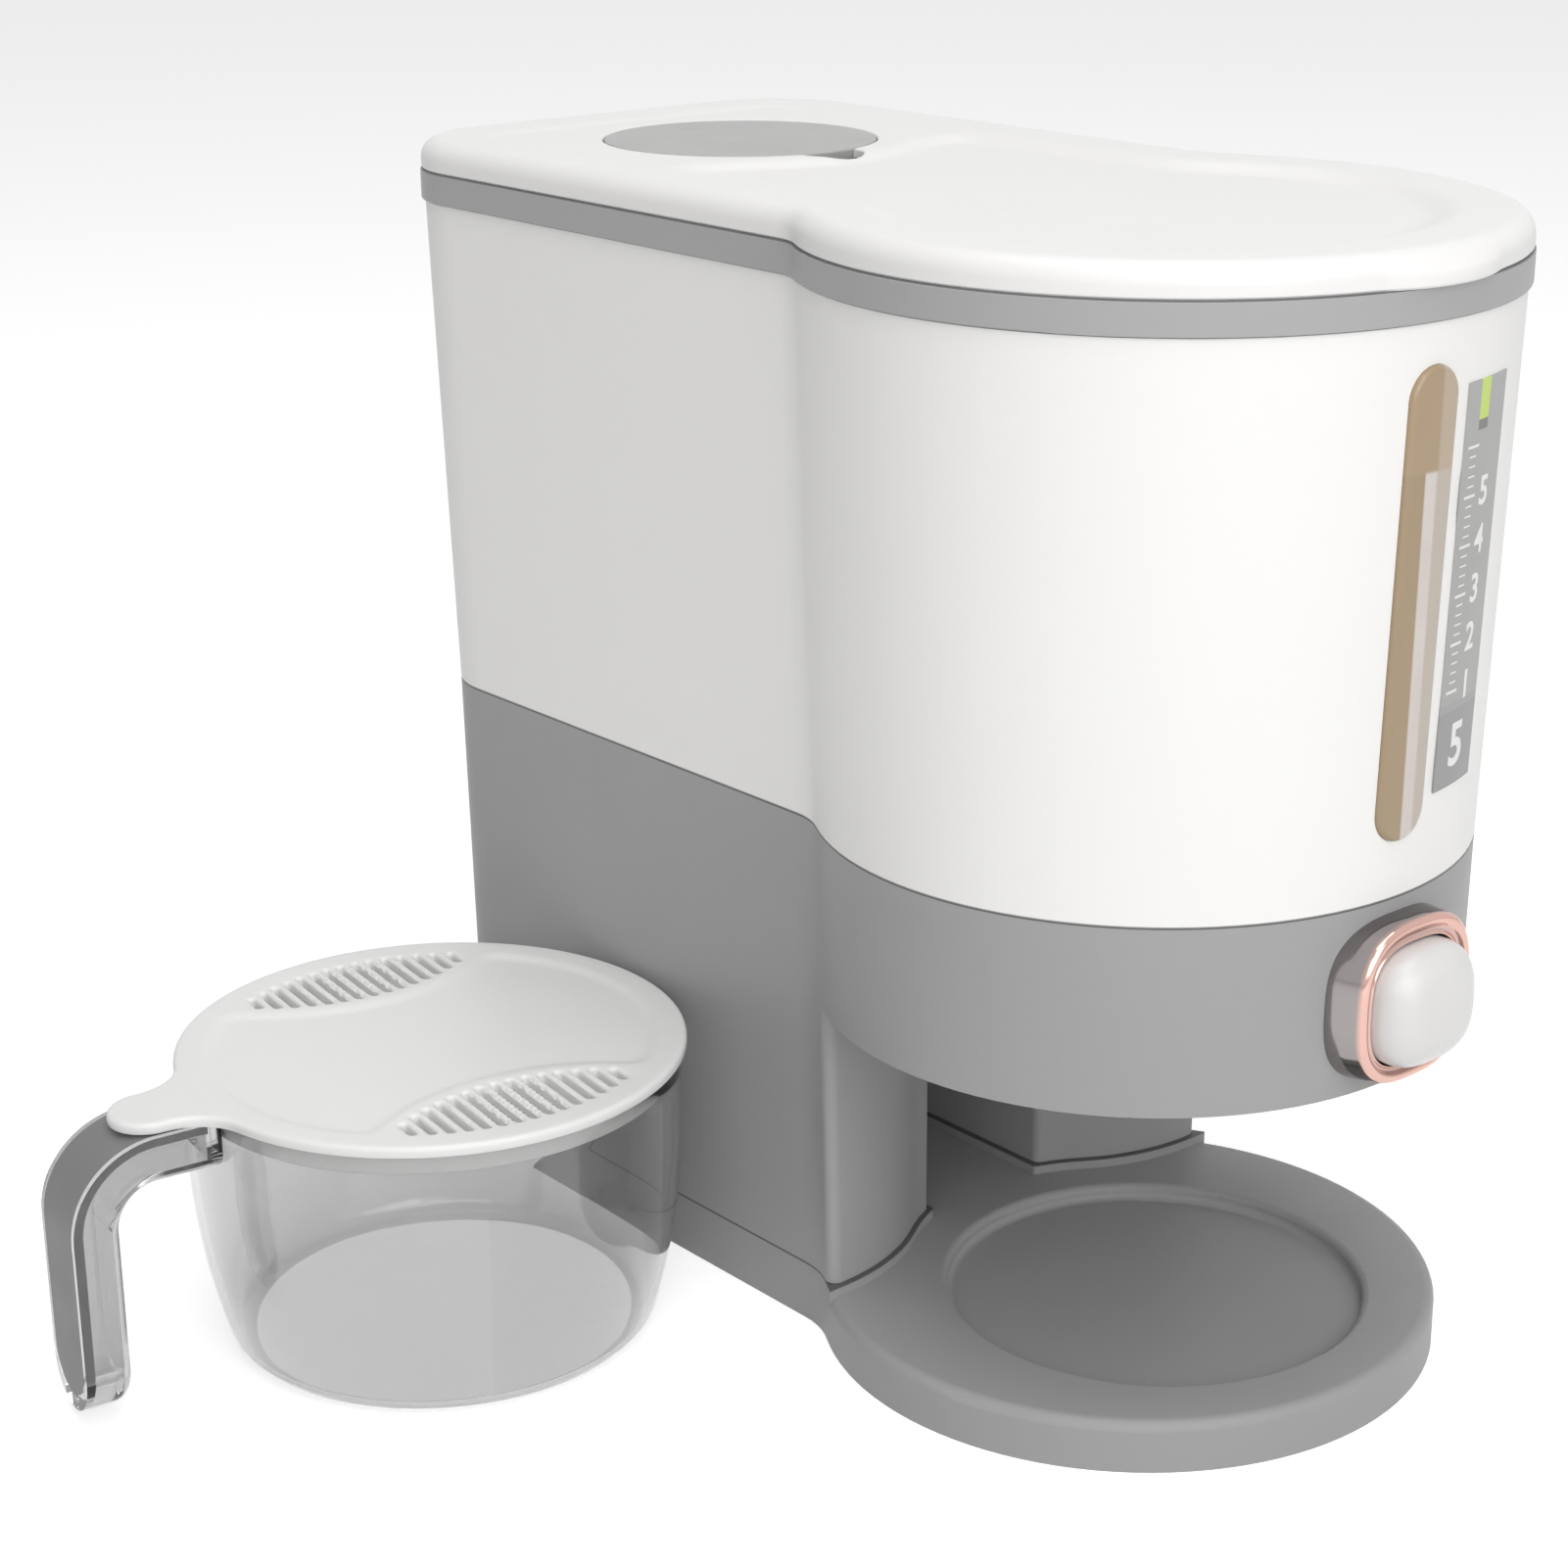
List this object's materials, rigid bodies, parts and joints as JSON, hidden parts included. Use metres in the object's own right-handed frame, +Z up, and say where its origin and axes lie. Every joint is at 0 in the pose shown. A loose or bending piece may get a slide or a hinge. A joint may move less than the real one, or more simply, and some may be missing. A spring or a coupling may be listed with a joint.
{
  "type": "rice dispenser",
  "caption": "Countertop grain dispenser: lidded tank with sight window and push-button outlet over a tray, with a lidded measuring cup standing beside it.",
  "frame": {"origin": "the floor point under the axis of the round nose and its tray, on the underside of the base", "axes": "+Z up, -Y towards the front with the push button, +X to the right of a person facing the front; the cup stands on the -X side"},
  "size_m": [0.3092, 0.3047, 0.2796],
  "materials": {
    "white_shell": "satin",
    "grey_shell": "fine matte",
    "band_grey": "satin",
    "cap_grey": "satin",
    "bezel_plating": "polished rose tint",
    "button_white": "satin gloss",
    "window_tint": "tinted clear",
    "strip_grey": "printed",
    "cup_clear": "clear plastic",
    "insert_grey": "fine matte",
    "cup_lid_white": "satin",
    "inner_white": "moulded",
    "inner_grey": "moulded",
    "soft_seal": "soft",
    "soft_pad": "soft",
    "steel": "bright"
  },
  "bodies": {
    "dispenser": {"base_plate": "grey_shell", "base_cover": "inner_grey", "foot_pads": "soft_pad", "cover_screws": "steel", "column_screws": "steel", "lower_housing": "grey_shell", "outlet_chute": "inner_white", "chute_screws": "steel", "button_guide": "inner_white", "guide_screws": "steel", "button_bezel": "bezel_plating", "return_spring": "steel", "hopper": "inner_white", "tank": "white_shell", "window_lens": "window_tint", "scale_strip": "strip_grey", "rim_band": "band_grey"},
    "button": {"button_cap": "button_white", "plunger": "inner_white", "gate_plate": "inner_white"},
    "lid": {"lid": "white_shell", "lid_seal": "soft_seal", "desiccant_basket": "inner_white"},
    "desiccant_cap": {"desiccant_cap": "cap_grey"},
    "cup": {"measuring_cup": "cup_clear", "cup_handle": "cup_clear", "handle_insert": "insert_grey"},
    "cup_lid": {"cup_lid": "cup_lid_white"}
  },
  "joints": [
    {"name": "button_press", "type": "slide", "parent": "dispenser", "child": "button", "axis": [0, 1, 0], "range_m": [0, 0.008], "stiffness_N_per_m": 400, "springref_m": -0.004, "deforming": ["return_spring"]},
    {"name": "lid_lift", "type": "slide", "parent": "dispenser", "child": "lid", "axis": [0, 0, 1], "range_m": [0, 0.08]},
    {"name": "desiccant_cap_lift", "type": "slide", "parent": "lid", "child": "desiccant_cap", "axis": [0, 0, 1], "range_m": [0, 0.03]},
    {"name": "cup_lift", "type": "slide", "parent": "dispenser", "child": "cup", "axis": [0, 0, 1], "range_m": [0, 0.03]},
    {"name": "cup_lid_lift", "type": "slide", "parent": "cup", "child": "cup_lid", "axis": [0, 0, 1], "range_m": [0, 0.02]}
  ]
}
